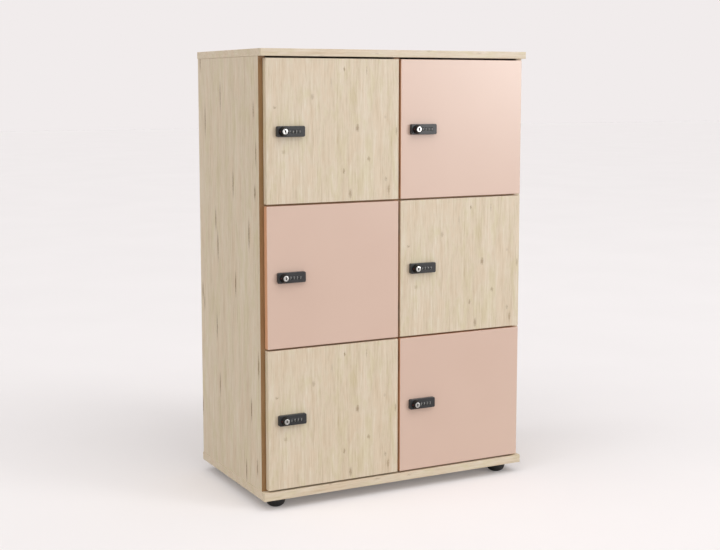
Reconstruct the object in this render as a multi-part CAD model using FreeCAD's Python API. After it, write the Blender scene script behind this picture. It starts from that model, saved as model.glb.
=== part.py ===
import FreeCAD, Part
import math
import os

# A free-standing wooden locker with two columns and three rows of doors. Each door has two
# concealed hinges on its right edge and a four-wheel combination lock on its left side.
# Millimetres. +X is to the right seen from the front, +Y to the back, +Z up. The origin is on
# the floor, under the middle of the whole object's box.

Vector = FreeCAD.Vector

# Cabinet
cabinet_width = 800.0
cabinet_depth = 450.0
body_height = 1171.0
top_thickness = 19.0
bottom_thickness = 22.0
side_thickness = 19.0
divider_thickness = 19.0
shelf_thickness = 19.0
back_thickness = 8.0
side_inset = 1.0            # side panel's face inside the top panel's end
back_inset = 2.0            # back edges of the sides in front of the top panel's back edge
panel_edge_round = 0.6

# Doors
column_names = ["left", "right"]
row_names = ["top", "middle", "bottom"]
door_thickness = 18.0
door_side_inset = 13.0
door_front_inset = 1.0
door_seat_gap = 1.5         # between a door's back and the front edges behind it
column_gap = 7.0
row_gap = 5.0
door_edge_round = 0.8

# Levelling feet
foot_height = 29.0
foot_top_radius = 27.0
foot_belly_radius = 24.0
foot_belly_height = 9.5
foot_flat_radius = 14.5
foot_inset_side = 52.5
foot_inset_front = 48.0
foot_gap = 0.3              # between the foot's rim and the bottom panel
foot_stem_radius = 4.0
foot_stem_length = 17.0
socket_length = 13.0
socket_radius = 6.5
socket_flange_radius = 11.0
socket_flange_thickness = 1.5
socket_room = 1.0           # room round and above the stem, inside the panel

# Concealed hinges
hinges_per_door = 2
hinge_from_door_end = 65.0
pivot_behind_front = 8.5
pin_radius = 1.5
pin_clearance = 0.05
knuckle_radius = 3.0
arm_knuckle_length = 16.0
knuckle_gap = 0.3
ear_knuckle_length = 12.0
knuckle_room = 0.5          # between a knuckle and the door in front of it
notch_end_room = 5.0
cup_radius = 17.5
cup_depth = 11.0
cup_wall = 1.5
cup_clearance = 0.1
cup_flange_height = 56.0
cup_flange_thickness = 1.5
ear_thickness = 2.3
ear_side_gap = 0.5          # between an ear and the wall of the notch
arm_thickness = 2.5
arm_room = 1.0              # between the arm and the door beside it
arm_web_thickness = 3.0
mounting_start = 14.0       # behind the walls' front edges
mounting_length = 42.0
mounting_thickness = 5.0
mounting_wing_height = 48.0
mounting_wing_length = 14.0
mounting_screw_radius = 2.0

# Combination locks
lock_from_door_edge = 27.0
lock_width = 78.0
lock_height = 27.5
lock_thickness = 10.0
lock_corner_radius = 4.0
lock_rim_round = 1.0
boss_inset_side = 4.0
boss_wall = 2.3             # round the number wheels' cavities
boss_clearance = 0.2
barrel_radius = 7.8
barrel_clearance = 0.2
barrel_proud = 5.0          # behind the door
nut_radius = 12.0
nut_thickness = 3.0
knob_from_lock_edge = 16.4
knob_base_radius = 12.0
knob_face_radius = 8.8
knob_height = 12.0
knob_gap = 0.3
spindle_radius = 5.0
spindle_clearance = 0.05
shank_side = 6.5
plug_radius = 7.4
plug_clearance = 0.05
plug_length = 9.0
plug_proud = 0.4
keyway_width = 1.6
keyway_height = 8.0
keyway_depth = 7.0
cam_gap = 0.5               # behind the barrel
cam_thickness = 2.5
cam_width = 12.0
cam_tip_room = 2.9          # between the turned cam's tip and the strike plate
cam_screw_radius = 5.0
cam_screw_head = 2.2

# Number wheels
wheel_count = 4
first_wheel_from_edge = 34.7
wheel_pitch = 9.3
wheel_width = 6.0
wheel_radius = 7.0
wheel_proud = 1.2
wheel_side_clearance = 0.3
wheel_rim_clearance = 0.5
wheel_bore_clearance = 0.05
wheel_faces = 10
groove_radius = 0.7
axle_radius = 1.5
axle_seat = 2.0             # length held at each end

# Strike plates
strike_thickness = 1.5
strike_nut_room = 6.4       # between the flange's end and the lock's nut
strike_height = 50.0
strike_behind_door = 2.5
strike_leg_length = 26.0
strike_flange_thickness = 2.0

# Levels and faces worked out from the sizes above
half_width = cabinet_width / 2
lock_stand_out = lock_thickness + knob_height + plug_proud - door_front_inset
front = -(cabinet_depth - lock_stand_out) / 2
back = front + cabinet_depth
door_front = front + door_front_inset
door_back = door_front + door_thickness
wall_front = door_back + door_seat_gap
wall_back = back - back_inset
back_panel_front = wall_back - back_thickness
bottom_level = foot_height
floor_level = bottom_level + bottom_thickness
top_level = bottom_level + body_height
ceiling_level = top_level - top_thickness
side_outer = half_width - side_inset
side_inner = side_outer - side_thickness
divider_half = divider_thickness / 2
door_width = (cabinet_width - 2 * door_side_inset - column_gap) / 2
row_count = len(row_names)
door_height = (ceiling_level - floor_level - (row_count + 1) * row_gap) / row_count
hinge_spacing = (door_height - 2 * hinge_from_door_end) / (hinges_per_door - 1)
pivot_from_edge = knuckle_radius
wall_from_door_edge = max(divider_half - column_gap / 2,
                          side_inset + side_thickness - door_side_inset)
notch_width = wall_from_door_edge + arm_thickness + arm_room
notch_skin = pivot_behind_front - knuckle_radius - knuckle_room
notch_half = arm_knuckle_length / 2 + knuckle_gap + ear_knuckle_length + notch_end_room
cup_from_edge = notch_width + cup_radius
wheel_axis_y = door_front - lock_thickness - wheel_proud + wheel_radius
wheel_bore_radius = axle_radius + wheel_bore_clearance
cavity_radius = wheel_radius + wheel_rim_clearance
boss_half = cavity_radius + boss_wall
boss_back = wheel_axis_y + boss_half
knob_from_wall = lock_from_door_edge + knob_from_lock_edge - wall_from_door_edge
cam_reach = knob_from_wall - strike_thickness - cam_tip_room
strike_reach = knob_from_wall - nut_radius - strike_nut_room
barrel_end = door_back + barrel_proud
cam_front = barrel_end + cam_gap
cam_back = cam_front + cam_thickness


def box(x0, x1, y0, y1, z0, z1):
    return Part.makeBox(x1 - x0, y1 - y0, z1 - z0, Vector(x0, y0, z0))


def rod_x(y, z, radius, x0, x1):
    return Part.makeCylinder(radius, x1 - x0, Vector(x0, y, z), Vector(1, 0, 0))


def rod_y(x, z, radius, y0, y1):
    return Part.makeCylinder(radius, y1 - y0, Vector(x, y0, z), Vector(0, 1, 0))


def rod_z(x, y, radius, z0, z1):
    return Part.makeCylinder(radius, z1 - z0, Vector(x, y, z0), Vector(0, 0, 1))


def board(x0, x1, y0, y1, z0, z1, edge_round=panel_edge_round):
    """A board with its edges lightly rounded, as an edge band is."""
    plain = box(x0, x1, y0, y1, z0, z1)
    return plain.makeFillet(edge_round, plain.Edges)


def column_edges(column):
    """The left and right edges of a column's doors."""
    if column == "left":
        right_edge = -column_gap / 2
    else:
        right_edge = half_width - door_side_inset
    return right_edge - door_width, right_edge


def column_walls(column):
    """The inner faces of the two walls of a column's compartments."""
    if column == "left":
        return -side_inner, -divider_half
    return divider_half, side_inner


def door_bottom(row):
    """The level of a door's lower edge, counted from the top row down."""
    steps = row_names.index(row) + 1
    return ceiling_level - steps * (door_height + row_gap)


def lock_height_level(row):
    return door_bottom(row) + door_height / 2


def hinge_levels(row):
    lowest = door_bottom(row) + hinge_from_door_end
    return [lowest + i * hinge_spacing for i in range(hinges_per_door)]


# ---- Carcass ----

def make_shelves():
    """A pair of shelves behind the middle of each gap between door rows."""
    shelves = []
    for row in row_names[:-1]:
        middle = door_bottom(row) - row_gap / 2
        for column in column_names:
            left_wall, right_wall = column_walls(column)
            shelves.append(board(left_wall, right_wall, wall_front, back_panel_front,
                                 middle - shelf_thickness / 2, middle + shelf_thickness / 2))
    return shelves


def foot_places():
    x = half_width - foot_inset_side
    y_values = (front + foot_inset_front, back - foot_inset_front)
    return [(side * x, y) for side in (-1, 1) for y in y_values]


def make_bottom_panel():
    """The thick bottom board, bored from below for the feet's sockets."""
    panel = board(-half_width, half_width, front, back, bottom_level, floor_level)
    stem_top = bottom_level - foot_gap + foot_stem_length
    for x, y in foot_places():
        flange = rod_z(x, y, socket_flange_radius, bottom_level,
                       bottom_level + socket_flange_thickness)
        socket = rod_z(x, y, socket_radius, bottom_level, bottom_level + socket_length)
        stem_room = rod_z(x, y, foot_stem_radius + socket_room, bottom_level,
                          stem_top + socket_room)
        panel = panel.cut(flange.fuse([socket, stem_room]))
    return panel


def make_foot_sockets():
    """Flanged threaded inserts that take the feet's stems."""
    sockets = []
    for x, y in foot_places():
        tube = rod_z(x, y, socket_radius, bottom_level, bottom_level + socket_length)
        flange = rod_z(x, y, socket_flange_radius, bottom_level,
                       bottom_level + socket_flange_thickness)
        bore = rod_z(x, y, foot_stem_radius + pin_clearance, bottom_level,
                     bottom_level + socket_length)
        sockets.append(tube.fuse(flange).cut(bore))
    return sockets


def make_feet():
    """Bowl-shaped glides, each turned with its stem in one profile."""
    rim = foot_height - foot_gap
    stem_top = rim + foot_stem_length
    side = Part.Arc(Vector(foot_flat_radius, 0, 0),
                    Vector(foot_belly_radius, 0, foot_belly_height),
                    Vector(foot_top_radius, 0, rim)).toShape()
    outline = [Vector(foot_top_radius, 0, rim), Vector(foot_stem_radius, 0, rim),
               Vector(foot_stem_radius, 0, stem_top), Vector(0, 0, stem_top),
               Vector(0, 0, 0), Vector(foot_flat_radius, 0, 0)]
    straight = [Part.makeLine(a, b) for a, b in zip(outline, outline[1:])]
    profile = Part.Face(Part.Wire([side] + straight))
    glide = profile.revolve(Vector(0, 0, 0), Vector(0, 0, 1), 360)
    return [glide.translated(Vector(x, y, 0)) for x, y in foot_places()]


# ---- Hinges ----

def hinge_axis(column):
    """X and Y of the line that a column's doors swing on."""
    return column_edges(column)[1] - pivot_from_edge, door_front + pivot_behind_front


def make_hinge_arm(column, z):
    """The arm in the compartment: a knuckle, a strap along the wall and its mounting plate."""
    axis_x, axis_y = hinge_axis(column)
    wall = column_walls(column)[1]
    half = arm_knuckle_length / 2
    mount_start = wall_front + mounting_start
    mount_end = mount_start + mounting_length
    wing_middle = (mount_start + mount_end) / 2
    knuckle = rod_z(axis_x, axis_y, knuckle_radius, z - half, z + half)
    web = box(wall - arm_thickness, axis_x, axis_y, axis_y + arm_web_thickness,
              z - half, z + half)
    strap = box(wall - arm_thickness, wall, axis_y, mount_end, z - half, z + half)
    plate = box(wall - mounting_thickness, wall, mount_start, mount_end, z - half, z + half)
    wings = box(wall - arm_thickness, wall, wing_middle - mounting_wing_length / 2,
                wing_middle + mounting_wing_length / 2,
                z - mounting_wing_height / 2, z + mounting_wing_height / 2)
    arm = knuckle.fuse([web, strap, plate, wings])
    screw_offset = (half + mounting_wing_height / 2) / 2
    for screw_z in (z - screw_offset, z + screw_offset):
        arm = arm.cut(rod_x(wing_middle, screw_z, mounting_screw_radius,
                            wall - mounting_thickness, wall))
    return arm.cut(rod_z(axis_x, axis_y, pin_radius, z - half, z + half)).removeSplitter()


def make_hinge_pin(column, z):
    axis_x, axis_y = hinge_axis(column)
    half = arm_knuckle_length / 2 + knuckle_gap + ear_knuckle_length
    return rod_z(axis_x, axis_y, pin_radius, z - half, z + half)


def make_hinge_cup(column, z):
    """The pressed cup in the door's back, with its flange and the two ears round the pin."""
    axis_x, axis_y = hinge_axis(column)
    right_edge = column_edges(column)[1]
    cup_x = right_edge - cup_from_edge
    notch_side = right_edge - notch_width
    flange_back = door_back + cup_flange_thickness
    cup = rod_y(cup_x, z, cup_radius, door_back - cup_depth, flange_back)
    flange = box(cup_x - cup_radius / 2, notch_side, door_back, flange_back,
                 z - cup_flange_height / 2, z + cup_flange_height / 2)
    hollow = rod_y(cup_x, z, cup_radius - cup_wall, door_back - cup_depth + cup_wall, flange_back)
    solid = cup.fuse(flange).cut(hollow)
    ear_left = notch_side + ear_side_gap
    for side in (-1, 1):
        near = z + side * (arm_knuckle_length / 2 + knuckle_gap)
        far = near + side * ear_knuckle_length
        low, high = min(near, far), max(near, far)
        knuckle = rod_z(axis_x, axis_y, knuckle_radius, low, high)
        front_leaf = box(ear_left, axis_x, axis_y - knuckle_radius,
                         axis_y - knuckle_radius + ear_thickness, low, high)
        side_leaf = box(ear_left, ear_left + ear_thickness, axis_y - knuckle_radius,
                        flange_back, low, high)
        tie = box(notch_side, ear_left, door_back, flange_back, low, high)
        solid = solid.fuse([knuckle, front_leaf, side_leaf, tie])
        solid = solid.cut(rod_z(axis_x, axis_y, pin_radius + pin_clearance, low, high))
    return solid.removeSplitter()


# ---- Doors ----

def lock_edge(column):
    return column_edges(column)[0] + lock_from_door_edge


def knob_x(column):
    return lock_edge(column) + knob_from_lock_edge


def make_door(column, row):
    """A door board, cut for its hinges and its lock."""
    left_edge, right_edge = column_edges(column)
    low = door_bottom(row)
    door = board(left_edge, right_edge, door_front, door_back, low, low + door_height,
                 door_edge_round)
    cuts = []
    for z in hinge_levels(row):
        cuts.append(box(right_edge - notch_width, right_edge, door_front + notch_skin,
                        door_back, z - notch_half, z + notch_half))
        cuts.append(rod_y(right_edge - cup_from_edge, z, cup_radius + cup_clearance,
                          door_back - cup_depth - cup_clearance, door_back))
    z = lock_height_level(row)
    boss_left = lock_edge(column) + boss_inset_side
    boss_right = lock_edge(column) + lock_width - boss_inset_side
    pocket_half = boss_half + boss_clearance
    cuts.append(box(boss_left, boss_right, door_front, boss_back + boss_clearance,
                    z - pocket_half, z + pocket_half))
    cuts.append(rod_y(knob_x(column), z, barrel_radius + barrel_clearance,
                      door_front, door_back))
    return door.cut(cuts)


# ---- Locks ----

def wheel_x(column, number):
    return lock_edge(column) + first_wheel_from_edge + (number - 1) * wheel_pitch


def make_lock_plate(column, z):
    """The black plate on the door: a box with round corners and a softened front rim."""
    x0 = lock_edge(column)
    plate_front = door_front - lock_thickness
    plain = box(x0, x0 + lock_width, plate_front, door_front,
                z - lock_height / 2, z + lock_height / 2)
    corners = [e for e in plain.Edges if abs(e.BoundBox.YLength - lock_thickness) < 0.1]
    rounded = plain.makeFillet(lock_corner_radius, corners)
    rim = [e for e in rounded.Edges if e.BoundBox.YMax < plate_front + 0.1]
    return rounded.makeFillet(lock_rim_round, rim)


def axle_span(column):
    reach = wheel_width / 2 + wheel_side_clearance + axle_seat
    return wheel_x(column, 1) - reach, wheel_x(column, wheel_count) + reach


def make_lock_housing(column, row):
    """The plate, the boss let into the door and the barrel through it, with room for the wheels."""
    z = lock_height_level(row)
    x0 = lock_edge(column)
    boss = box(x0 + boss_inset_side + boss_clearance,
               x0 + lock_width - boss_inset_side - boss_clearance,
               door_front, boss_back, z - boss_half, z + boss_half)
    barrel = rod_y(knob_x(column), z, barrel_radius, door_front, barrel_end)
    housing = make_lock_plate(column, z).fuse([boss, barrel])
    cuts = [rod_y(knob_x(column), z, spindle_radius + spindle_clearance,
                  door_front - lock_thickness, barrel_end)]
    half = wheel_width / 2 + wheel_side_clearance
    for number in range(1, wheel_count + 1):
        x = wheel_x(column, number)
        cuts.append(rod_x(wheel_axis_y, z, cavity_radius, x - half, x + half))
    axle_left, axle_right = axle_span(column)
    axle = rod_x(wheel_axis_y, z, axle_radius, axle_left, axle_right)
    cuts.append(axle)
    return [housing.cut(cuts), axle, make_fixing_nut(column, z)]


def make_fixing_nut(column, z):
    """A hexagonal nut that draws the housing against the door from behind."""
    x = knob_x(column)
    corners = [Vector(x + nut_radius * math.cos(math.radians(60 * i)), door_back,
                      z + nut_radius * math.sin(math.radians(60 * i))) for i in range(7)]
    hexagon = Part.Face(Part.makePolygon(corners)).extrude(Vector(0, nut_thickness, 0))
    return hexagon.cut(rod_y(x, z, barrel_radius, door_back, door_back + nut_thickness))


def make_knob(column, z):
    """The tapered knob and its spindle, which ends in a square shank for the cam."""
    x = knob_x(column)
    base = door_front - lock_thickness - knob_gap
    face = door_front - lock_thickness - knob_height
    grip = Part.makeCone(knob_face_radius, knob_base_radius, base - face,
                         Vector(x, face, z), Vector(0, 1, 0))
    spindle = rod_y(x, z, spindle_radius, base, cam_front)
    half = shank_side / 2
    shank = box(x - half, x + half, cam_front, cam_back, z - half, z + half)
    bore = rod_y(x, z, plug_radius + plug_clearance, face, face + plug_length)
    return grip.fuse([spindle, shank]).cut(bore)


def make_key_plug(column, z):
    """The metal plug in the knob's face, with its keyway."""
    x = knob_x(column)
    face = door_front - lock_thickness - knob_height
    plug = rod_y(x, z, plug_radius, face - plug_proud, face + plug_length)
    keyway = box(x - keyway_width / 2, x + keyway_width / 2, face - plug_proud,
                 face + keyway_depth, z - keyway_height / 2, z + keyway_height / 2)
    return plug.cut(keyway)


def make_cam(column, z):
    """The cam on the shank, hanging down when the lock is open."""
    x = knob_x(column)
    half = cam_width / 2
    tip = z - cam_reach + half
    blade = box(x - half, x + half, cam_front, cam_back, tip, z)
    ends = [rod_y(x, level, half, cam_front, cam_back) for level in (tip, z)]
    hole = shank_side / 2
    square = box(x - hole, x + hole, cam_front, cam_back, z - hole, z + hole)
    return blade.fuse(ends).cut(square).removeSplitter()


def make_lock_knob(column, row):
    z = lock_height_level(row)
    screw = rod_y(knob_x(column), z, cam_screw_radius, cam_back, cam_back + cam_screw_head)
    return [make_knob(column, z), make_key_plug(column, z), make_cam(column, z), screw]


def make_number_wheel(column, row, number):
    """A wheel with one shallow groove between each two of its ten faces."""
    x = wheel_x(column, number)
    z = lock_height_level(row)
    x0, x1 = x - wheel_width / 2, x + wheel_width / 2
    wheel = rod_x(wheel_axis_y, z, wheel_radius, x0, x1)
    cuts = [rod_x(wheel_axis_y, z, wheel_bore_radius, x0, x1)]
    step = 2 * math.pi / wheel_faces
    for i in range(wheel_faces):
        angle = (i + 0.5) * step
        cuts.append(rod_x(wheel_axis_y - wheel_radius * math.cos(angle),
                          z + wheel_radius * math.sin(angle), groove_radius, x0, x1))
    return wheel.cut(cuts)


def make_strike_plate(column, row):
    """An angle plate on the wall beside the lock. The cam turns behind its flange."""
    z = lock_height_level(row)
    wall = column_walls(column)[0]
    near = door_back + strike_behind_door
    low, high = z - strike_height / 2, z + strike_height / 2
    leg = box(wall, wall + strike_thickness, near, near + strike_leg_length, low, high)
    flange = box(wall, wall + strike_reach, near, near + strike_flange_thickness, low, high)
    return leg.fuse(flange).removeSplitter()


# ---- Nodes ----

places = [(column, row) for row in row_names for column in column_names]
hinge_places = [(column, z) for column, row in places for z in hinge_levels(row)]

nodes = {
    "top_panel": [board(-half_width, half_width, front, back, ceiling_level, top_level)],
    "bottom_panel": [make_bottom_panel()],
    "left_side_panel": [board(-side_outer, -side_inner, wall_front, wall_back,
                              floor_level, ceiling_level)],
    "right_side_panel": [board(side_inner, side_outer, wall_front, wall_back,
                               floor_level, ceiling_level)],
    "centre_divider": [board(-divider_half, divider_half, wall_front, back_panel_front,
                             floor_level, ceiling_level)],
    "back_panel": [box(-side_inner, side_inner, back_panel_front, wall_back,
                       floor_level, ceiling_level)],
    "shelves": make_shelves(),
    "foot_sockets": make_foot_sockets(),
    "levelling_feet": make_feet(),
    "hinge_arms": [make_hinge_arm(column, z) for column, z in hinge_places],
    "hinge_pins": [make_hinge_pin(column, z) for column, z in hinge_places],
    "strike_plates": [make_strike_plate(column, row) for column, row in places],
}
for column, row in places:
    place = column + "_" + row
    nodes["door_" + place] = [make_door(column, row)]
    nodes["hinge_cups_" + place] = [make_hinge_cup(column, z) for z in hinge_levels(row)]
    nodes["lock_housing_" + place] = make_lock_housing(column, row)
    nodes["lock_knob_" + place] = make_lock_knob(column, row)
    for number in range(1, wheel_count + 1):
        name = "number_wheel_" + place + "_" + str(number)
        nodes[name] = [make_number_wheel(column, row, number)]

os.makedirs("parts", exist_ok=True)
for name, solids in nodes.items():
    shape = solids[0] if len(solids) == 1 else Part.makeCompound(solids)
    shape.exportStep("parts/" + name + ".step")
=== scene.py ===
import bmesh
import bpy
import math
import random
from mathutils import Matrix, Vector


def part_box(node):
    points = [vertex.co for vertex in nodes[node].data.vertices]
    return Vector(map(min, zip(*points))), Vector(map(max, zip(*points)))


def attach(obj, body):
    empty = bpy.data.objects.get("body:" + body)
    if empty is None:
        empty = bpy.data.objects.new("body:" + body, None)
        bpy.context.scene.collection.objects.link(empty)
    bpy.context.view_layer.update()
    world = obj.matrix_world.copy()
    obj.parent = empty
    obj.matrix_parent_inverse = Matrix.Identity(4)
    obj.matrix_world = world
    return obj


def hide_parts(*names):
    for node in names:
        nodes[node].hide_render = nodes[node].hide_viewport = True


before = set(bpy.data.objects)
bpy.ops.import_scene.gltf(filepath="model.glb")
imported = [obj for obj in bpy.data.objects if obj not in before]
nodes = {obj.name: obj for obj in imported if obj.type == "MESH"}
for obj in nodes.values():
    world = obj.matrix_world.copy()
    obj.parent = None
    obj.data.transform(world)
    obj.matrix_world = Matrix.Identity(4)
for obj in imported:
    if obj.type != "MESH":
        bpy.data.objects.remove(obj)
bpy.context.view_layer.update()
mm = 0.001
columns = ("left", "right")
rows = ("top", "middle", "bottom")
places = [column + "_" + row for row in rows for column in columns]


# The carcass boards: chipboard faced in a pale oak print, cut to size and banded on every edge.
# They meet square, and dowels inside the joints hold them.

def tint(red, green, blue):
    """A finish colour, from its 0 to 255 values to the linear ones that a shader takes."""
    parts = []
    for value in (red, green, blue):
        share = value / 255
        parts.append(share / 12.92 if share <= 0.04045 else ((share + 0.055) / 1.055) ** 2.4)
    return (*parts, 1.0)


def add(tree, kind, sockets, **settings):
    """Adds a shader node. A socket's value is a number, a colour or another node's output."""
    made = tree.nodes.new(kind)
    for name, value in settings.items():
        setattr(made, name, value)
    for name, value in sockets.items():
        if isinstance(value, bpy.types.NodeSocket):
            tree.links.new(value, made.inputs[name])
        else:
            made.inputs[name].default_value = value
    return made


def finish(name, **surface):
    """A new material and its surface shader, with that shader's plain values set."""
    material = bpy.data.materials.new(name)
    material.use_nodes = True
    tree = material.node_tree
    shader = tree.nodes["Principled BSDF"]
    for socket, value in surface.items():
        shader.inputs[socket.replace("_", " ")].default_value = value
    return material, tree, shader


def math_node(tree, operation, first, second):
    return add(tree, "ShaderNodeMath", {0: first, 1: second}, operation=operation).outputs[0]


def scaled(tree, vector, factors):
    return add(tree, "ShaderNodeVectorMath", {0: vector, 1: factors},
               operation="MULTIPLY").outputs[0]


def noise(tree, vector, scale, detail=2.0, roughness=0.5, distortion=0.0):
    return add(tree, "ShaderNodeTexNoise",
               {"Vector": vector, "Scale": scale, "Detail": detail, "Roughness": roughness,
                "Distortion": distortion}).outputs["Fac"]


def ramp(tree, value, stops):
    """A colour ramp through (position, colour) stops."""
    made = add(tree, "ShaderNodeValToRGB", {"Fac": value})
    band = made.color_ramp
    while len(band.elements) < len(stops):
        band.elements.new(0.5)
    for element, (position, colour) in zip(band.elements, stops):
        element.position = position
        element.color = colour
    return made.outputs["Color"]


def mixed(tree, share, first, second, blend="MIX"):
    made = add(tree, "ShaderNodeMix", {0: share, 6: first, 7: second},
               data_type="RGBA", blend_type=blend)
    return made.outputs[2]


def bumped(tree, shader, height, distance, strength=1.0):
    made = add(tree, "ShaderNodeBump", {"Height": height, "Distance": distance,
                                        "Strength": strength})
    tree.links.new(made.outputs["Normal"], shader.inputs["Normal"])


oak_dark = tint(194, 175, 146)
oak_mid = tint(210, 194, 170)
oak_light = tint(217, 203, 182)
oak_pale = tint(223, 212, 195)
oak_pink = (1.0, 0.97, 0.945, 1.0)
oak_olive = (0.955, 0.965, 0.88, 1.0)
knot_brown = tint(140, 114, 82)
grain_stretch = {"X": (0.035, 1.0, 1.0), "Y": (1.0, 0.035, 1.0), "Z": (1.0, 1.0, 0.035)}


def along(grain, width, length):
    """The three half sizes of a mark in the print, longest along the grain."""
    return tuple(length if axis == grain else width for axis in "XYZ")


def mark_mask(tree, place, marks, grain):
    """Where the print's knots and dark flecks are: (point, half width, half length, depth)."""
    mask = None
    for point, width, length, depth in marks:
        offset = add(tree, "ShaderNodeVectorMath", {0: place, 1: point},
                     operation="SUBTRACT").outputs[0]
        sizes = along(grain, width, length)
        squeezed = scaled(tree, offset, tuple(1 / size for size in sizes))
        reach = add(tree, "ShaderNodeVectorMath", {0: squeezed}, operation="LENGTH").outputs[1]
        spot = add(tree, "ShaderNodeMapRange",
                   {"Value": reach, "From Min": 0.15, "From Max": 1.0, "To Min": depth,
                    "To Max": 0.0}, interpolation_type="SMOOTHSTEP").outputs[0]
        mask = spot if mask is None else math_node(tree, "MAXIMUM", mask, spot)
    return mask


def wobbled(tree, place, reach):
    """The same point moved a little to and fro, so that a mark's outline isn't an oval."""
    sway = add(tree, "ShaderNodeTexNoise", {"Vector": place, "Scale": 230.0}).outputs["Color"]
    centred = add(tree, "ShaderNodeVectorMath", {0: sway, 1: (0.5, 0.5, 0.5)},
                  operation="SUBTRACT").outputs[0]
    return add(tree, "ShaderNodeVectorMath", {0: place, 1: scaled(tree, centred, reach)},
               operation="ADD").outputs[0]


def facing_depthwise(tree):
    """How far a face looks along the cabinet's depth, from -1 at the front to 1 at the back. It is
    taken in the piece's own frame, so a door keeps its colours when it swings."""
    face_way = add(tree, "ShaderNodeNewGeometry", {}).outputs["True Normal"]
    own_way = add(tree, "ShaderNodeVectorTransform", {"Vector": face_way}, vector_type="NORMAL",
                  convert_from="WORLD", convert_to="OBJECT").outputs[0]
    return add(tree, "ShaderNodeSeparateXYZ", {"Vector": own_way}).outputs["Y"]


def oak(name, corner, grain, marks=(), front_edge_light_shade=None):
    """The oak print on one board, laid from the board's own corner. A front tint recolours the edge
    that the doors close over, as painted light and shade: a dark brown one is painted shade, the
    doors' shadow on that edge, and a warm orange one is painted bounce light from the door gaps."""
    material, tree, shader = finish(name)
    shader.inputs["Specular IOR Level"].default_value = 0.42
    where = add(tree, "ShaderNodeTexCoord", {}).outputs["Object"]
    place = add(tree, "ShaderNodeVectorMath", {0: where, 1: tuple(corner)},
                operation="SUBTRACT").outputs[0]
    lengthwise = scaled(tree, place, grain_stretch[grain])
    bands = noise(tree, scaled(tree, lengthwise, along(grain, 1.0, 2.4)), 30, 3, 0.6, 0.25)
    stripes = noise(tree, scaled(tree, lengthwise, along(grain, 1.0, 1.5)), 190, 3, 0.6)
    fibres = noise(tree, lengthwise, 620, 3, 0.65)
    wide = math_node(tree, "MULTIPLY", bands, 0.24)
    middle = math_node(tree, "MULTIPLY", stripes, 0.38)
    fine = math_node(tree, "MULTIPLY", fibres, 0.38)
    figure = math_node(tree, "ADD", math_node(tree, "ADD", wide, middle), fine)
    colour = ramp(tree, figure, [(0.37, oak_dark), (0.46, oak_mid), (0.54, oak_light),
                                 (0.63, oak_pale)])
    clouds = noise(tree, scaled(tree, place, along(grain, 1.0, 0.3)), 26, 4, 0.7)
    hue = ramp(tree, clouds, [(0.40, oak_olive), (0.50, (1, 1, 1, 1)), (0.60, oak_pink)])
    colour = mixed(tree, 1.0, colour, hue, "MULTIPLY")
    pores = noise(tree, scaled(tree, lengthwise, along(grain, 1.0, 1.6)), 900, 1)
    pore_depth = add(tree, "ShaderNodeMapRange",
                     {"Value": pores, "From Min": 0.60, "From Max": 0.72, "To Min": 0.0,
                      "To Max": 0.35}).outputs[0]
    colour = mixed(tree, pore_depth, colour, oak_dark)
    if marks:
        shifted = wobbled(tree, place, along(grain, 0.006, 0.016))
        colour = mixed(tree, mark_mask(tree, shifted, marks, grain), colour, knot_brown)
    # Painted light and shade on the front edge: the doors' shadow, or the warm bounce light of the
    # gaps.
    if front_edge_light_shade is not None:
        on_front = math_node(tree, "LESS_THAN", facing_depthwise(tree), -0.5)
        band = mixed(tree, 1.0, colour, front_edge_light_shade, "MULTIPLY")
        colour = mixed(tree, on_front, colour, band)
    tree.links.new(colour, shader.inputs["Base Color"])
    rough = add(tree, "ShaderNodeMapRange", {"Value": fibres, "To Min": 0.40, "To Max": 0.54})
    tree.links.new(rough.outputs[0], shader.inputs["Roughness"])
    bumped(tree, shader, math_node(tree, "ADD", fibres, stripes), 0.0002, 0.35)
    return material


def dress(node_name, material):
    """Gives a board or fitting from the frame its finish."""
    mesh = nodes[node_name].data
    mesh.materials.clear()
    mesh.materials.append(material)


def print_marks(board, across, grain, face, count, widths, lengths, depths, seed):
    """Knots and flecks of the print on one face of a board: one in each of equal bands along the
    grain, at a place drawn across it. Widths and lengths are half sizes in millimetres. The face
    is 0 or 1, for the low or high side of the board's remaining axis."""
    low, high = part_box(board)
    size = high - low
    draw = random.Random(seed)
    marks = []
    for band in range(count):
        point = [face * extent for extent in size]
        point["XYZ".index(across)] = draw.random() * size["XYZ".index(across)]
        point["XYZ".index(grain)] = (band + draw.random()) / count * size["XYZ".index(grain)]
        marks.append((tuple(point), draw.uniform(*widths) * mm, draw.uniform(*lengths) * mm,
                      draw.uniform(*depths)))
    return marks


def side_marks(board, face, seed):
    return print_marks(board, "Y", "Z", face, 20, (5, 7), (24, 60), (0.75, 1.0), seed)


def edge_marks(board, seed):
    return print_marks(board, "Z", "X", 0, 4, (3, 3), (10, 14), (0.3, 0.4), seed)


# Painted shade: the shadow the doors cast on the left side panel's front edge, laid in as a dark
# brown tint.
left_edge_painted_shade = tint(188, 158, 124)
# Painted light: an orange tint on the divider's and shelves' front edges that stands in for the warm
# bounce light in the door gaps.
inner_edge_painted_bounce = tint(228, 190, 150)
board_finish = {
    "top_panel": ("X", edge_marks("top_panel", 1), None),
    "bottom_panel": ("X", edge_marks("bottom_panel", 2), None),
    "left_side_panel": ("Z", side_marks("left_side_panel", 0, 3), left_edge_painted_shade),
    "right_side_panel": ("Z", side_marks("right_side_panel", 1, 4), None),
    "centre_divider": ("Z", (), inner_edge_painted_bounce), "back_panel": ("Z", (), None),
    "shelves": ("X", (), inner_edge_painted_bounce)}
for board, (grain, marks, band) in board_finish.items():
    dress(board, oak("oak_" + board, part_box(board)[0], grain, marks, band))


# The levelling feet: black moulded bowls with fine turned rings, each on a threaded stem that
# screws into a flanged insert in the bottom panel.

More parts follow.
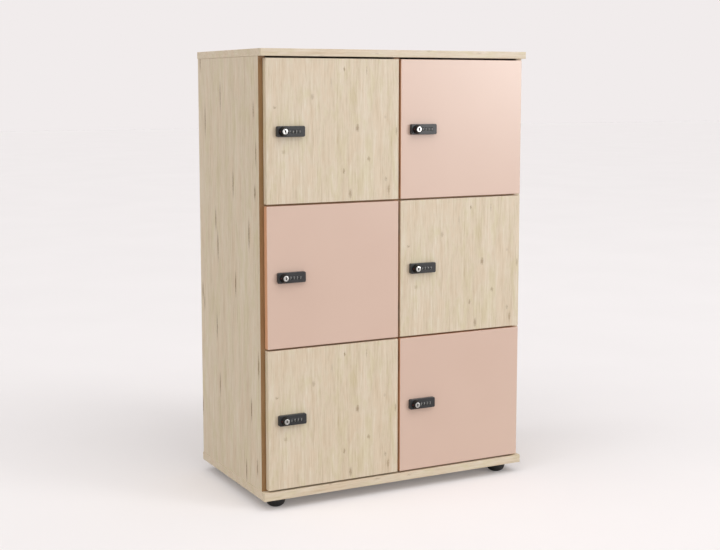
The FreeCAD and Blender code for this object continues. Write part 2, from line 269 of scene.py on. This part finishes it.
foot_radius = 27.0
foot_profile = [(0, 0), (13.4, 0), (14.5, 0.6)]
foot_rings = 9
foot_wall = [(14.5, 0.6), (21.4, 5.2), (24.8, 11.5), (26.5, 19.0), (27.0, 28.0)]
foot_rim_height = 28.65
stem_radius = 4.0
stem_core_radius = stem_radius - 0.75
stem_end_radius = 2.6
stem_top = 45.7
thread_start = 29.6
thread_pitch = 1.25


def lathe(name, profile, segments=64, wave=None):
    """Turns (radius, height) points round Z. wave(angle, height) adds flutes to the radius."""
    build = bmesh.new()
    rings = []
    for radius, height in profile:
        if radius == 0:
            rings.append([build.verts.new((0, 0, height * mm))])
            continue
        ring = []
        for step in range(segments):
            angle = 2 * math.pi * step / segments
            reach = radius + (wave(angle, height) if wave else 0)
            ring.append(build.verts.new((reach * mm * math.cos(angle),
                                         reach * mm * math.sin(angle), height * mm)))
        rings.append(ring)
    for low, high in zip(rings, rings[1:]):
        for step in range(segments):
            after = (step + 1) % segments
            if len(low) == 1:
                build.faces.new((low[0], high[after], high[step]))
            elif len(high) == 1:
                build.faces.new((low[step], low[after], high[0]))
            else:
                build.faces.new((low[step], low[after], high[after], high[step]))
    bmesh.ops.recalc_face_normals(build, faces=build.faces)
    return mesh_object(name, build)


def mesh_object(name, build, smooth_under=40):
    """Makes an object from a bmesh, smooth except at edges sharper than the angle."""
    mesh = bpy.data.meshes.new(name)
    for edge in build.edges:
        if len(edge.link_faces) == 2:
            edge.smooth = edge.calc_face_angle() < math.radians(smooth_under)
    for face in build.faces:
        face.smooth = True
    build.to_mesh(mesh)
    build.free()
    made = bpy.data.objects.new(name, mesh)
    bpy.context.scene.collection.objects.link(made)
    return made


def fit_out(piece, material, body, turn=None, move=None):
    """Puts a modelled piece in its place, gives it its finish and lets it ride on a body."""
    if turn is not None:
        piece.data.transform(turn.to_4x4())
    if move is not None:
        piece.data.transform(Matrix.Translation(move))
    piece.data.materials.clear()
    piece.data.materials.append(material)
    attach(piece, body)
    return piece


def moulded(name, colour, roughness, grain_size=900, depth=0.00006, **surface):
    """Moulded plastic with a fine spark-eroded grain and faint uneven gloss."""
    material, tree, shader = finish(name, **surface)
    where = add(tree, "ShaderNodeTexCoord", {}).outputs["Object"]
    grain = noise(tree, where, grain_size, 2)
    cloud = noise(tree, where, 60, 2)
    shade = ramp(tree, cloud, [(0.35, tuple(0.86 * c for c in colour[:3]) + (1,)),
                               (0.65, colour)])
    tree.links.new(shade, shader.inputs["Base Color"])
    rough = add(tree, "ShaderNodeMapRange", {"Value": cloud, "To Min": roughness - 0.05,
                                             "To Max": roughness + 0.05})
    tree.links.new(rough.outputs[0], shader.inputs["Roughness"])
    bumped(tree, shader, grain, depth, 0.6)
    return material


def metal(name, colour, roughness, brushed=(1, 1, 40), depth=0.00002):
    """Plated steel with light brushing along one direction."""
    material, tree, shader = finish(name, Metallic=1.0)
    where = add(tree, "ShaderNodeTexCoord", {}).outputs["Object"]
    lines = noise(tree, scaled(tree, where, brushed), 160, 3)
    cloud = noise(tree, where, 90, 2)
    shade = ramp(tree, cloud, [(0.3, tuple(0.85 * c for c in colour[:3]) + (1,)), (0.7, colour)])
    tree.links.new(shade, shader.inputs["Base Color"])
    rough = add(tree, "ShaderNodeMapRange", {"Value": lines, "To Min": roughness - 0.06,
                                             "To Max": roughness + 0.08})
    tree.links.new(rough.outputs[0], shader.inputs["Roughness"])
    bumped(tree, shader, lines, depth, 0.4)
    return material


black_plastic = moulded("foot_black", tint(40, 40, 42), 0.42)
zinc = metal("zinc_plate", tint(196, 193, 184), 0.34)
dress("foot_sockets", zinc)


def ringed_wall(points, rings):
    """The bowl's side, with a shallow groove at the foot of each ring."""
    heights = [points[0][1] + (points[-1][1] - points[0][1]) * i / rings for i in range(rings + 1)]
    wall = []
    for low, high in zip(heights, heights[1:]):
        for share, inward in ((0.02, 0.45), (0.14, 0.0), (0.5, -0.06), (0.98, 0.0)):
            level = low + (high - low) * share
            wall.append((radius_at(points, level) - inward, level))
    return wall


def radius_at(points, level):
    for (r0, h0), (r1, h1) in zip(points, points[1:]):
        if h0 <= level <= h1:
            share = (level - h0) / (h1 - h0)
            return r0 + (r1 - r0) * (share ** 0.8)
    return points[-1][0]


stem = []
turns = int((stem_top - thread_start) / thread_pitch)
for turn_number in range(turns):
    base = thread_start + turn_number * thread_pitch
    stem += [(stem_core_radius, base), (stem_radius - 0.02, base + thread_pitch * 0.5)]
stem += [(stem_end_radius, stem_top - 0.2), (0, stem_top - 0.2)]
rim = [(foot_radius - 0.1, foot_rim_height - 0.25), (foot_radius - 0.5, foot_rim_height),
       (stem_radius * 2, foot_rim_height), (stem_core_radius, foot_rim_height + 0.25)]
bowl = foot_profile + ringed_wall(foot_wall, foot_rings) + rim
foot_low, foot_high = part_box("levelling_feet")
foot_reach = foot_radius * mm
for number in range(4):
    foot_x = foot_low.x + foot_reach if number % 2 == 0 else foot_high.x - foot_reach
    foot_y = foot_low.y + foot_reach if number < 2 else foot_high.y - foot_reach
    foot = lathe("levelling_foot_" + str(number + 1), bowl + stem)
    fit_out(foot, black_plastic, "feet",
            move=Vector((foot_x, foot_y, 0)))
    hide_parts("levelling_feet")


# The doors: three faced in the same oak print, all cut from it alike, and three in a plain rose
# laminate with a soft satin sheen. Each has small clear buffers where it closes on the carcass.

oak_places = ("left_top", "right_middle", "left_bottom")
rose_base = tint(214, 186, 170)
rose_deep = tint(211, 182, 166)
rose_edge_painted_bounce = tint(214, 162, 126)


def rose_laminate(name):
    """Pressed laminate: nearly one colour, with a very fine pebble and a satin sheen."""
    material, tree, shader = finish(name)
    shader.inputs["Specular IOR Level"].default_value = 0.5
    where = add(tree, "ShaderNodeTexCoord", {}).outputs["Object"]
    cloud = noise(tree, where, 4, 2, 0.5)
    speck = noise(tree, where, 700, 2)
    colour = ramp(tree, cloud, [(0.3, rose_deep), (0.7, rose_base)])
    colour = mixed(tree, 0.06, colour, ramp(tree, speck, [(0.4, rose_deep), (0.6, rose_base)]))
    # Painted light: the doors' edge faces take a warmer orange that stands in for the warm bounce
    # light in the gaps between doors.
    on_edge = math_node(tree, "LESS_THAN",
                        math_node(tree, "ABSOLUTE", facing_depthwise(tree), 0), 0.5)
    colour = mixed(tree, on_edge, colour, rose_edge_painted_bounce)
    tree.links.new(colour, shader.inputs["Base Color"])
    rough = add(tree, "ShaderNodeMapRange", {"Value": cloud, "To Min": 0.32, "To Max": 0.35})
    tree.links.new(rough.outputs[0], shader.inputs["Roughness"])
    bumped(tree, shader, speck, 0.00012, 0.35)
    return material


rose = rose_laminate("rose_laminate")
for place in places:
    door = "door_" + place
    if place in oak_places:
        knots = print_marks(door, "X", "Z", 0, 14, (3, 8), (6, 18), (0.2, 0.7), 5)
        dress(door, oak("oak_" + door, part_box(door)[0], "Z", knots))
    else:
        dress(door, rose)

buffer_profile = [(0, 0), (2.7, 0), (2.7, 0.35), (2.45, 0.8), (1.8, 1.08), (0.9, 1.18), (0, 1.2)]
buffer_from_edge = 3.2 * mm
buffer_from_end = 22.0 * mm


def clear_plastic(name):
    """Soft clear plastic, a little milky and uneven inside."""
    material, tree, shader = finish(name, Transmission_Weight=0.7, IOR=1.46)
    where = add(tree, "ShaderNodeTexCoord", {}).outputs["Object"]
    cloud = noise(tree, where, 500, 2)
    milk = ramp(tree, cloud, [(0.3, tint(226, 226, 220)), (0.7, tint(240, 240, 236))])
    tree.links.new(milk, shader.inputs["Base Color"])
    rough = add(tree, "ShaderNodeMapRange", {"Value": cloud, "To Min": 0.22, "To Max": 0.34})
    tree.links.new(rough.outputs[0], shader.inputs["Roughness"])
    bumped(tree, shader, cloud, 0.00003, 0.4)
    return material


def facing(direction, where):
    """Turns a piece's own Z to a direction and puts its foot at a place."""
    turn = Vector(direction).to_track_quat("Z", "Y").to_matrix().to_4x4()
    return Matrix.Translation(where) @ turn


def repeated(name, pattern, places_of):
    """One object with a copy of a small pattern object at each place. The pattern is used up."""
    build = bmesh.new()
    for matrix in places_of:
        copy = pattern.data.copy()
        copy.transform(matrix)
        build.from_mesh(copy)
        bpy.data.meshes.remove(copy)
    bpy.data.objects.remove(pattern)
    return mesh_object(name, build)


clear = clear_plastic("clear_buffer")
for place in places:
    low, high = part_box("door_" + place)
    spots = [facing((0, 1, 0), Vector((low.x + buffer_from_edge, high.y, level)))
             for level in (low.z + buffer_from_end, high.z - buffer_from_end)]
    buffers = repeated("door_buffers_" + place, lathe("buffer", buffer_profile, 32), spots)
    fit_out(buffers, clear, "door_" + place)


# The concealed hinges: pressed and plated steel. A cup in the door's back and an arm on the
# carcass wall turn on one pin. Cross-recessed screws hold the arms' plates and the cups' flanges.

nickel = metal("nickel_plate", tint(205, 202, 196), 0.28)
for fitting in ("hinge_arms", "hinge_pins", "strike_plates"):
    dress(fitting, nickel)
for place in places:
    dress("hinge_cups_" + place, nickel)

screw_radius = 3.6
screw_height = 1.7
screw_round = 0.5
recess_reach = 2.0
recess_half = 0.42


def outline_piece(name, outlines, thickness, rounding):
    """A flat piece with softened edges. The first outline is its rim and the others its holes."""
    drawn = bpy.data.curves.new(name, "CURVE")
    drawn.dimensions = "2D"
    drawn.fill_mode = "BOTH"
    drawn.extrude = (thickness / 2 - rounding) * mm
    drawn.bevel_depth = rounding * mm
    drawn.bevel_resolution = 2
    drawn.offset = -rounding * mm
    for points in outlines:
        spline = drawn.splines.new("POLY")
        spline.points.add(len(points) - 1)
        for point, (x, y) in zip(spline.points, points):
            point.co = (x * mm, y * mm, 0, 1)
        spline.use_cyclic_u = True
    holder = bpy.data.objects.new(name, drawn)
    build = bmesh.new()
    build.from_mesh(bpy.data.meshes.new_from_object(holder))
    bpy.data.objects.remove(holder)
    bmesh.ops.remove_doubles(build, verts=build.verts, dist=1e-6)
    bmesh.ops.recalc_face_normals(build, faces=build.faces)
    return mesh_object(name, build)


def round_outline(radius, points=48):
    return [(radius * math.cos(2 * math.pi * i / points), radius * math.sin(2 * math.pi * i / points))
            for i in range(points)]


def cross_outline(reach, half):
    """A cross-shaped recess with square ends."""
    quarter = [(reach, half), (half, half), (half, reach)]
    points = []
    for turn_number in range(4):
        for x, y in quarter:
            for _ in range(turn_number):
                x, y = -y, x
            points.append((x, y))
    return points


def screw_head(name):
    """A pan head with a cross recess, standing on its foot, with the recess's floor inside."""
    rim = outline_piece(name, [round_outline(screw_radius), cross_outline(recess_reach, recess_half)],
                        screw_height, screw_round)
    base = lathe("screw_base", [(0, -screw_height / 2), (screw_radius - 1.0, -screw_height / 2),
                                (screw_radius - 1.0, 0), (0, 0)], 32)
    build = bmesh.new()
    for part in (rim, base):
        build.from_mesh(part.data)
        bpy.data.objects.remove(part)
    bmesh.ops.translate(build, verts=build.verts, vec=(0, 0, screw_height / 2 * mm))
    return mesh_object(name, build)


hinge_from_door_end = 65.0 * mm
arm_thickness = 2.5 * mm
arm_wing_offset = 16.0 * mm
arm_wing_middle = 35.0 * mm
cup_from_edge = 28.0 * mm
cup_screw_offset = 23.6 * mm
cup_flange_thickness = 1.5 * mm
strike_screw_offset = 15.0 * mm
strike_leg_middle = 16.0 * mm
strike_leg_thickness = 1.5 * mm

wall_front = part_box("left_side_panel")[0].y
right_walls = {"left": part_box("centre_divider")[0].x, "right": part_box("right_side_panel")[0].x}
left_walls = {"left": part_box("left_side_panel")[1].x, "right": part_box("centre_divider")[1].x}
arm_screws = []
strike_screws = []
for place in places:
    column = place.split("_")[0]
    low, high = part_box("door_" + place)
    hinge_levels = (low.z + hinge_from_door_end, high.z - hinge_from_door_end)
    middle = (low.z + high.z) / 2
    cup_screws = []
    for level in hinge_levels:
        for side in (-1, 1):
            arm_screws.append(facing((-1, 0, 0), Vector((
                right_walls[column] - arm_thickness, wall_front + arm_wing_middle,
                level + side * arm_wing_offset))))
            cup_screws.append(facing((0, 1, 0), Vector((
                high.x - cup_from_edge, high.y + cup_flange_thickness,
                level + side * cup_screw_offset))))
    for side in (-1, 1):
        strike_screws.append(facing((1, 0, 0), Vector((
            left_walls[column] + strike_leg_thickness, high.y + strike_leg_middle,
            middle + side * strike_screw_offset))))
    fit_out(repeated("cup_screws_" + place, screw_head("screw"), cup_screws), zinc,
            "door_" + place)
fit_out(repeated("hinge_arm_screws", screw_head("screw"), arm_screws), zinc,
        "carcass")
fit_out(repeated("strike_plate_screws", screw_head("screw"), strike_screws), zinc,
        "carcass")


# The combination locks: a black satin housing on each door with four number wheels behind
# slotted windows, and a tapered knob with a metal key plug. The knob turns the cam behind.

lock_black = moulded("lock_black", tint(48, 49, 51), 0.36, 1500, 0.00003,
                     Specular_IOR_Level=0.35)
knob_black = moulded("knob_black", tint(14, 14, 15), 0.42, 1500, 0.00003, Specular_IOR_Level=0.22)
wheel_black = moulded("wheel_black", tint(34, 34, 35), 0.42, 1500, 0.00002)
plug_chrome = metal("plug_chrome", tint(192, 192, 190), 0.28, (1, 1, 1))
digit_white = moulded("digit_white", tint(190, 190, 186), 0.5, 1500, 0.00001)
mark_red = moulded("mark_red", tint(150, 34, 38), 0.4, 1500, 0.00001)

knob_base_radius = 12.0
knob_face_radius = 8.8
knob_height = 12.0
knob_gap = 0.3
knob_bore_radius = 7.45
knob_bore_depth = 9.0
knob_flutes = 40
knob_flute_depth = 0.12
spindle_radius = 5.0
lock_thickness = 10.0
door_thickness = 18.0
spindle_proud = 5.5
spindle_end = -(lock_thickness + door_thickness + spindle_proud)
shank_half = 3.2
cam_thickness = 2.5
cam_half_width = 6.0
cam_screw_radius = 5.0
cam_screw_head = 2.2
cam_recess_reach = 2.6
cam_recess_half = 0.6
plug_radius = 7.4
plug_face_thickness = 1.6
plug_core_radius = 7.3
plug_proud = 0.4
plug_round = 0.5
keyway_half_width = 1.5
keyway_half_height = 4.2
mark_height = 4.6
mark_radius = 1.1
wheel_radius = 7.0
wheel_faces = 10
digit_height = 3.9
digit_lift = 0.09
digit_thickness = 0.12
capital_share = 0.73
core_gap = 0.05
core_bottom = knob_height - knob_bore_depth + core_gap
core_top = knob_height + plug_proud - plug_face_thickness - core_gap


def knob_profile():
    """The grip's bore, rim, flank and back, then the spindle that goes through the door."""
    floor_of_bore = knob_height - knob_bore_depth
    slope = (knob_base_radius - knob_face_radius) / (knob_height - knob_gap)
    flank = [(knob_base_radius - 0.05 - slope * (height - knob_gap), height)
             for height in (11.3, 10.0, 8.0, 6.0, 4.0, 2.0, 1.0)]
    return ([(0, floor_of_bore), (knob_bore_radius, floor_of_bore), (knob_bore_radius, 11.75),
             (knob_bore_radius + 0.2, knob_height), (8.2, knob_height), (8.65, 11.85)] + flank
            + [(knob_base_radius - 0.1, 0.55), (knob_base_radius - 0.35, knob_gap),
               (spindle_radius, knob_gap), (spindle_radius, spindle_end + 0.4),
               (spindle_radius - 0.4, spindle_end), (0, spindle_end)])


def knob_wave(angle, height):
    """Fine flutes round the grip's flank only."""
    if not 0.8 < height < 10.5:
        return 0
    return -knob_flute_depth * (0.5 + 0.5 * math.cos(knob_flutes * angle))


def rounded_end(centre, radius, start, points=16):
    """Half a circle round (0, centre), from a start angle in degrees."""
    return [(radius * math.cos(math.radians(start + 180 * i / points)),
             centre + radius * math.sin(math.radians(start + 180 * i / points)))
            for i in range(points + 1)]


def square_outline(half):
    return [(half, half), (-half, half), (-half, -half), (half, -half)]


def slot_outline(half_width, half_height):
    end = half_height - half_width
    return rounded_end(end, half_width, 0) + rounded_end(-end, half_width, 180)


def wheel_digits(name):
    """The ten digits of one wheel, wrapped round its rim as thin printed steps."""
    build = bmesh.new()
    for digit in range(wheel_faces):
        drawn = bpy.data.curves.new("digit", "FONT")
        drawn.body = str(digit)
        drawn.align_x = "CENTER"
        drawn.align_y = "CENTER"
        drawn.size = digit_height / capital_share * mm
        drawn.extrude = digit_thickness / 2 * mm
        drawn.resolution_u = 3
        holder = bpy.data.objects.new("digit", drawn)
        flat = bpy.data.meshes.new_from_object(holder)
        bpy.data.objects.remove(holder)
        middle = (max(v.co.y for v in flat.vertices) + min(v.co.y for v in flat.vertices)) / 2
        for vertex in flat.vertices:
            reach = wheel_radius * mm + vertex.co.z + digit_lift * mm
            angle = 2 * math.pi * digit / wheel_faces + (vertex.co.y - middle) / (wheel_radius * mm)
            vertex.co = (vertex.co.x, -reach * math.cos(angle), reach * math.sin(angle))
        build.from_mesh(flat)
        bpy.data.meshes.remove(flat)
    bmesh.ops.remove_doubles(build, verts=build.verts, dist=1e-6)
    bmesh.ops.recalc_face_normals(build, faces=build.faces)
    return mesh_object(name, build)


outward = facing((0, -1, 0), Vector((0, 0, 0)))
for place in places:
    knob_node = "lock_knob_" + place
    low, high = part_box(knob_node)
    face_low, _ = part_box("lock_housing_" + place)
    centre = Vector(((low.x + high.x) / 2, face_low.y, high.z - knob_base_radius * mm))
    in_place = Matrix.Translation(centre) @ outward
    tip = (low.z - centre.z) / mm + cam_half_width
    dress("lock_housing_" + place, lock_black)

    grip = lathe("knob_grip_" + place, knob_profile(), 160, knob_wave)
    shank = outline_piece("knob_shank_" + place, [square_outline(shank_half)], cam_thickness, 0.2)
    plug = outline_piece("key_plug_" + place,
                         [round_outline(plug_radius, 64),
                          slot_outline(keyway_half_width, keyway_half_height)],
                         plug_face_thickness, plug_round)
    core = lathe("key_plug_core_" + place,
                 [(0, core_bottom), (plug_core_radius, core_bottom), (plug_core_radius, core_top),
                  (0, core_top)], 64)
    cam = outline_piece("lock_cam_" + place,
                        [rounded_end(0, cam_half_width, 0) + rounded_end(tip, cam_half_width, 180),
                         square_outline(shank_half + 0.05)], cam_thickness, 0.3)
    screw = outline_piece("cam_screw_" + place,
                          [round_outline(cam_screw_radius),
                           cross_outline(cam_recess_reach, cam_recess_half)],
                          cam_screw_head, 0.6)
    mark = lathe("knob_mark_" + place, [(0, 0), (mark_radius, 0), (mark_radius - 0.1, 0.12),
                                        (0, 0.18)], 24)
    slope = math.atan((knob_base_radius - knob_face_radius) / (knob_height - knob_gap))
    mark_reach = knob_base_radius - math.tan(slope) * (mark_height - knob_gap) - 0.1
    mark_turn = Vector((-math.cos(slope), 0, math.sin(slope))).to_track_quat("Z", "Y")
    mark.data.transform(Matrix.Translation((-mark_reach * mm, 0, mark_height * mm))
                        @ mark_turn.to_matrix().to_4x4())
    shank.data.transform(Matrix.Translation((0, 0, (spindle_end - cam_thickness / 2) * mm)))
    cam.data.transform(Matrix.Translation((0, 0, (spindle_end - cam_thickness / 2) * mm)))
    plug.data.transform(Matrix.Translation(
        (0, 0, (knob_height + plug_proud - plug_face_thickness / 2) * mm)))
    screw_level = spindle_end - cam_thickness - cam_screw_head / 2
    screw.data.transform(Matrix.Translation((0, 0, screw_level * mm)))
    for piece, material, slot in ((grip, knob_black, "lock_black"), (shank, knob_black, "lock_black"),
                                  (plug, plug_chrome, "hinge_steel"), (cam, nickel, "hinge_steel"),
                                  (core, knob_black, "lock_black"),
                                  (screw, zinc, "hinge_steel"), (mark, mark_red, "lock_black")):
        piece.data.transform(in_place)
        fit_out(piece, material, "knob_" + place)
        if piece is not mark:
            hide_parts(knob_node)

    for number in range(1, 5):
        wheel = place + "_" + str(number)
        dress("number_wheel_" + wheel, wheel_black)
        wheel_low, wheel_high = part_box("number_wheel_" + wheel)
        digits = wheel_digits("wheel_digits_" + wheel)
        fit_out(digits, digit_white, "wheel_" + wheel,
                move=(wheel_low + wheel_high) / 2)


# The studio: a plain pale floor under an overhead light, a soft key from the front right and a
# broad fill from the left. Two panels at the right light the doors and give them their sheen. The
# camera stands in front of the cabinet's left corner.

floor_size = 60.0
floor_glow_colour = tint(241, 236, 236)
floor_dull = tint(205, 200, 198)
floor_glow_strength = 1.2
floor_glow_share = 0.12
floor_build = bmesh.new()
bmesh.ops.create_grid(floor_build, x_segments=2, y_segments=2, size=floor_size / 2)
floor = mesh_object("studio_floor", floor_build)
floor_paint, floor_tree, floor_shader = finish("floor_paint", Roughness=0.9)
floor_shader.inputs["Specular IOR Level"].default_value = 0.0
floor_where = add(floor_tree, "ShaderNodeTexCoord", {}).outputs["Object"]
floor_cloud = noise(floor_tree, floor_where, 1.5, 2)
floor_colour = ramp(floor_tree, floor_cloud,
                    [(0.3, tint(239, 235, 236)), (0.7, tint(241, 237, 238))])
floor_path = add(floor_tree, "ShaderNodeLightPath", {})
floor_colour = mixed(floor_tree, floor_path.outputs["Is Camera Ray"], floor_dull, floor_colour)
floor_tree.links.new(floor_colour, floor_shader.inputs["Base Color"])
floor_glow = add(floor_tree, "ShaderNodeEmission", {"Color": floor_glow_colour,
                                                    "Strength": floor_glow_strength})
floor_share = math_node(floor_tree, "MULTIPLY", floor_path.outputs["Is Camera Ray"], floor_glow_share)
floor_both = add(floor_tree, "ShaderNodeMixShader", {0: floor_share, 1: floor_shader.outputs[0],
                                                     2: floor_glow.outputs[0]})
floor_tree.links.new(floor_both.outputs[0], floor_tree.nodes["Material Output"].inputs["Surface"])
floor.data.materials.append(floor_paint)

scene = bpy.context.scene
scene.view_settings.view_transform = "Standard"
backdrop_colour = tint(241, 236, 236)
ambient_colour = (1.0, 0.99, 0.98, 1.0)
ambient_strength = 0.30
world = bpy.data.worlds.new("studio")
world.use_nodes = True
scene.world = world
air = world.node_tree
path = add(air, "ShaderNodeLightPath", {})
seen = math_node(air, "MAXIMUM", path.outputs["Is Camera Ray"], path.outputs["Is Transmission Ray"])
seen = math_node(air, "MAXIMUM", seen, path.outputs["Is Glossy Ray"])
lit = add(air, "ShaderNodeBackground", {"Color": ambient_colour, "Strength": ambient_strength})
backdrop = add(air, "ShaderNodeBackground", {"Color": backdrop_colour, "Strength": 1.0})
both = add(air, "ShaderNodeMixShader", {0: seen, 1: lit.outputs[0], 2: backdrop.outputs[0]})
air.links.new(both.outputs[0], air.nodes["World Output"].inputs["Surface"])


def soft_sun(name, azimuth, elevation, spread, strength, colour=(1, 1, 1)):
    """A wide, even light from a direction: azimuth from the front towards the right, in degrees."""
    lamp = bpy.data.lights.new(name, "SUN")
    lamp.energy = strength
    lamp.angle = math.radians(spread)
    lamp.color = colour
    made = bpy.data.objects.new(name, lamp)
    turn, lift = math.radians(azimuth), math.radians(elevation)
    towards = Vector((math.sin(turn) * math.cos(lift), -math.cos(turn) * math.cos(lift),
                      math.sin(lift)))
    made.rotation_euler = towards.to_track_quat("Z", "Y").to_euler()
    scene.collection.objects.link(made)


def softbox(name, where, aim, size, power, gloss_only=False):
    """A soft panel lamp at a place, aimed at a point. It shows only as light and as gloss."""
    lamp = bpy.data.lights.new(name, "AREA")
    lamp.shape = "SQUARE"
    lamp.size = size
    lamp.energy = power
    made = bpy.data.objects.new(name, lamp)
    made.location = where
    made.rotation_euler = (Vector(where) - Vector(aim)).to_track_quat("Z", "Y").to_euler()
    made.visible_camera = False
    made.visible_diffuse = not gloss_only
    scene.collection.objects.link(made)


soft_sun("overhead", 0, 80, 80, 0.98)
soft_sun("key_light", 22, 50, 40, 0.62)
soft_sun("left_fill", -75, 34, 70, 1.2, (1.0, 0.98, 0.94))
softbox("right_softbox", (6.0, -7.4, 2.6), (0.3, -0.2, 1.0), 3.0, 278)
softbox("gloss_panel", (5.86, -7.34, 1.75), (0.3, -0.2, 1.0), 1.3, 160, True)

camera_data = bpy.data.cameras.new("camera")
camera_data.lens = 65.12
camera_data.shift_y = -0.04
camera = bpy.data.objects.new("camera", camera_data)
camera.location = (-1.699, -3.245, 1.102)
camera_turn = 27.52
camera_tilt = -6.95
camera.rotation_euler = (math.radians(90 + camera_tilt), 0, math.radians(-camera_turn))
scene.collection.objects.link(camera)
scene.camera = camera
